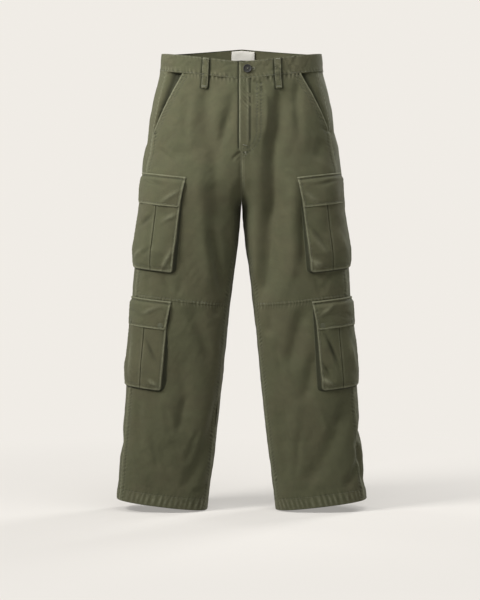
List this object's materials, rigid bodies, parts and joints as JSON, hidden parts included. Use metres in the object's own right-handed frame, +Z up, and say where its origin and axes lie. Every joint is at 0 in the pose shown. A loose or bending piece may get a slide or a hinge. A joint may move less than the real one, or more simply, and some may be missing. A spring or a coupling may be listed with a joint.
{
  "type": "cargo pants",
  "caption": "Hollow, filled-out cargo trousers with a lapped button fly, slanted hip pockets, a knee seam, and bellows pockets with pleats and flaps above and below each knee.",
  "frame": {"origin": "middle of the waist, at the height of the waistband seam over the side seams, where the wearer's waist holds the trousers", "axes": "+Z up, front facing -Y, +X the wearer's left"},
  "size_m": [0.594, 0.2382, 1.0987],
  "materials": {
    "twill": "matte olive cotton twill with topstitching",
    "facing_twill": "the same twill behind the pocket mouth",
    "button": "dark satin button with a raised rim",
    "snap": "snap caps painted to match the cloth",
    "label": "bare white woven label"
  },
  "bodies": {
    "root": {"front_upper_left": "twill", "front_upper_right": "twill", "front_lower_left": "twill", "front_lower_right": "twill", "back_left": "twill", "back_right": "twill", "hip_facing_left": "facing_twill", "hip_facing_right": "facing_twill", "waistband": "twill", "belt_loop_front_right": "twill", "belt_loop_front_left": "twill", "belt_loop_side_right": "twill", "belt_loop_side_left": "twill", "belt_loop_back": "twill", "waist_button": "button", "waist_label": "label", "pocket_gusset_upper_left": "twill", "pocket_gusset_upper_right": "twill", "pocket_gusset_lower_left": "twill", "pocket_gusset_lower_right": "twill", "pocket_face_upper_left": "twill", "pocket_face_upper_right": "twill", "pocket_face_lower_left": "twill", "pocket_face_lower_right": "twill", "pocket_flap_upper_left": "twill", "pocket_flap_upper_right": "twill", "pocket_flap_lower_left": "twill", "pocket_flap_lower_right": "twill", "snap_front_left": "snap", "snap_front_right": "snap", "snap_back_left": "snap", "snap_back_right": "snap"}
  },
  "joints": []
}
